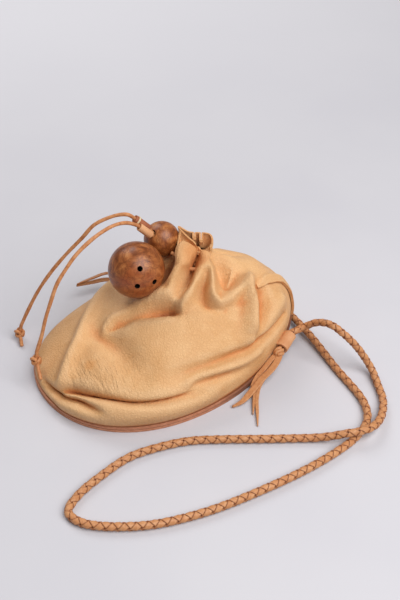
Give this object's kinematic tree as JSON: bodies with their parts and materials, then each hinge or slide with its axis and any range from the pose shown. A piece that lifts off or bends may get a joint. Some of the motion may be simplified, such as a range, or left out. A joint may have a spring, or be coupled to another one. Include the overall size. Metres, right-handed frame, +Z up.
{
  "type": "drawstring dumpling bag",
  "caption": "Soft leather pouch gathered at a drawstring neck, on a flat egg-shaped layered base, with wooden balls on the lace and a long braided strap lying beside it.",
  "frame": {"origin": "middle of the base on the surface the bag lies on", "axes": "+X along the base towards the end where the strap leaves, +Y to the back, +Z up"},
  "size_m": [0.2702, 0.2645, 0.1194],
  "materials": {
    "base_leather": "matt cut edges",
    "shell_leather": "soft grained, matt",
    "lace_leather": "matt",
    "slider_leather": "matt",
    "strap_leather": "matt, braided",
    "bead_wood": "satin"
  },
  "bodies": {
    "root": {"base_sole": "base_leather", "base_welt": "base_leather", "shell": "shell_leather", "drawcord_loop": "lace_leather", "drawcord_tail_upper": "lace_leather", "drawcord_tail_lower": "lace_leather", "tail_knot_upper": "lace_leather", "tail_knot_lower": "lace_leather", "cord_slider": "slider_leather", "big_bead": "bead_wood", "small_bead": "bead_wood", "bead_tie": "lace_leather", "strap": "strap_leather", "strap_tab_right": "slider_leather", "strap_tab_back": "slider_leather", "strap_tassel_right": "strap_leather", "strap_tassel_back": "strap_leather"}
  },
  "joints": []
}
